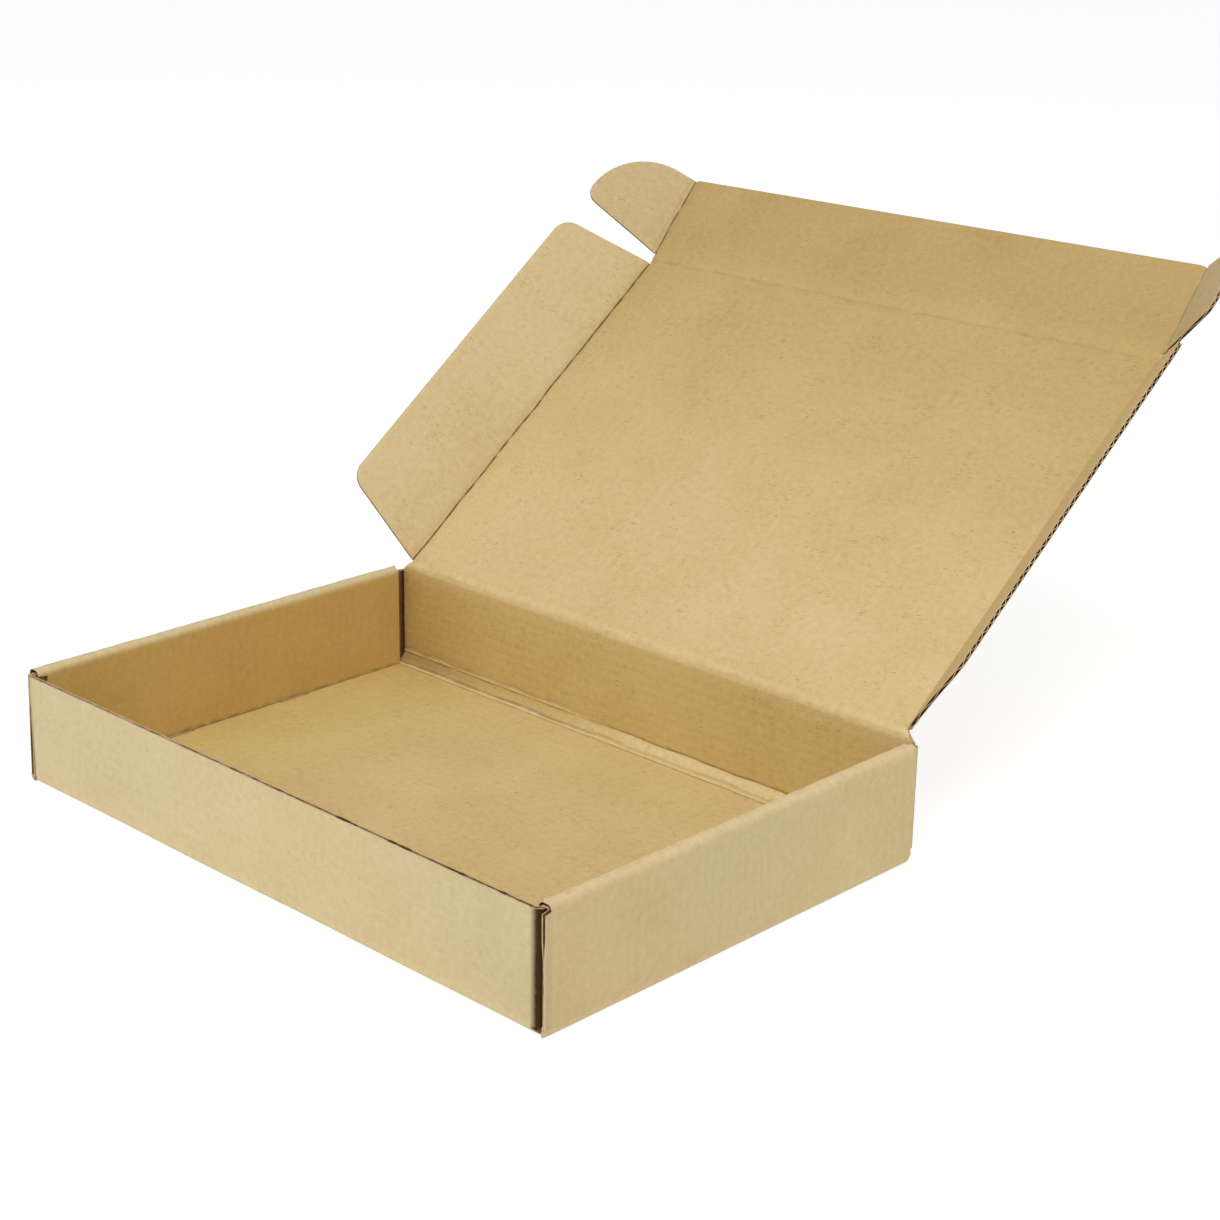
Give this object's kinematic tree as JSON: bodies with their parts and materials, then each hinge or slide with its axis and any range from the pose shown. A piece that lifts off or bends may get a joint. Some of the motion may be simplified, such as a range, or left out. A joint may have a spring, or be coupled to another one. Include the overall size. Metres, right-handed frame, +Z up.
{
  "type": "shipping box",
  "caption": "Open shipping box of kraft corrugated board with roll-over side walls, a hinged lid, a front tuck flap, rounded lock ears and side dust flaps.",
  "frame": {"origin": "middle of the tray's underside, on the surface it stands on", "axes": "+X right along the front wall, +Y to the hinged back wall, +Z up"},
  "size_m": [0.276, 0.3109, 0.1702],
  "materials": {
    "tray_board": "matt unbleached kraft paper",
    "lid_board": "matt unbleached kraft paper",
    "flap_board": "matt unbleached kraft paper, flutes open at the edges"
  },
  "bodies": {
    "tray": {"tray": "tray_board"},
    "lid": {"lid": "lid_board"},
    "tuck_flap": {"tuck_flap": "flap_board"},
    "left_dust_flap": {"left_dust_flap": "flap_board"},
    "right_dust_flap": {"right_dust_flap": "flap_board"},
    "left_lock_ear": {"left_lock_ear": "flap_board"},
    "right_lock_ear": {"right_lock_ear": "flap_board"}
  },
  "joints": [
    {"name": "lid_hinge", "type": "hinge", "parent": "tray", "child": "lid", "pos_m": [0, 0.0795, 0.0398], "axis": [-1, 0, 0], "range_deg": [-143, 45]},
    {"name": "tuck_fold", "type": "hinge", "parent": "lid", "child": "tuck_flap", "pos_m": [0, 0.20513, 0.13447], "axis": [1, 0, 0], "range_deg": [-19.5, 86.5]},
    {"name": "left_dust_flap_fold", "type": "hinge", "parent": "lid", "child": "left_dust_flap", "pos_m": [-0.1132, 0.0795, 0.0398], "axis": [0, 0.7986, 0.6018], "range_deg": [-23, 72]},
    {"name": "right_dust_flap_fold", "type": "hinge", "parent": "lid", "child": "right_dust_flap", "pos_m": [0.1132, 0.0795, 0.0398], "axis": [0, -0.7986, -0.6018], "range_deg": [-23, 72]},
    {"name": "left_lock_ear_fold", "type": "hinge", "parent": "tuck_flap", "child": "left_lock_ear", "pos_m": [-0.1136, 0.20513, 0.13447], "axis": [0, 0.6626, 0.749], "range_deg": [-11, 46]},
    {"name": "right_lock_ear_fold", "type": "hinge", "parent": "tuck_flap", "child": "right_lock_ear", "pos_m": [0.1136, 0.20513, 0.13447], "axis": [0, -0.6626, -0.749], "range_deg": [-11, 46]}
  ],
  "couplings": [
    {"joint": "left_dust_flap_fold", "follows": "lid_hinge", "ratio": -0.5},
    {"joint": "right_dust_flap_fold", "follows": "lid_hinge", "ratio": -0.5},
    {"joint": "left_lock_ear_fold", "follows": "tuck_fold", "ratio": 0.52},
    {"joint": "right_lock_ear_fold", "follows": "tuck_fold", "ratio": 0.52}
  ]
}
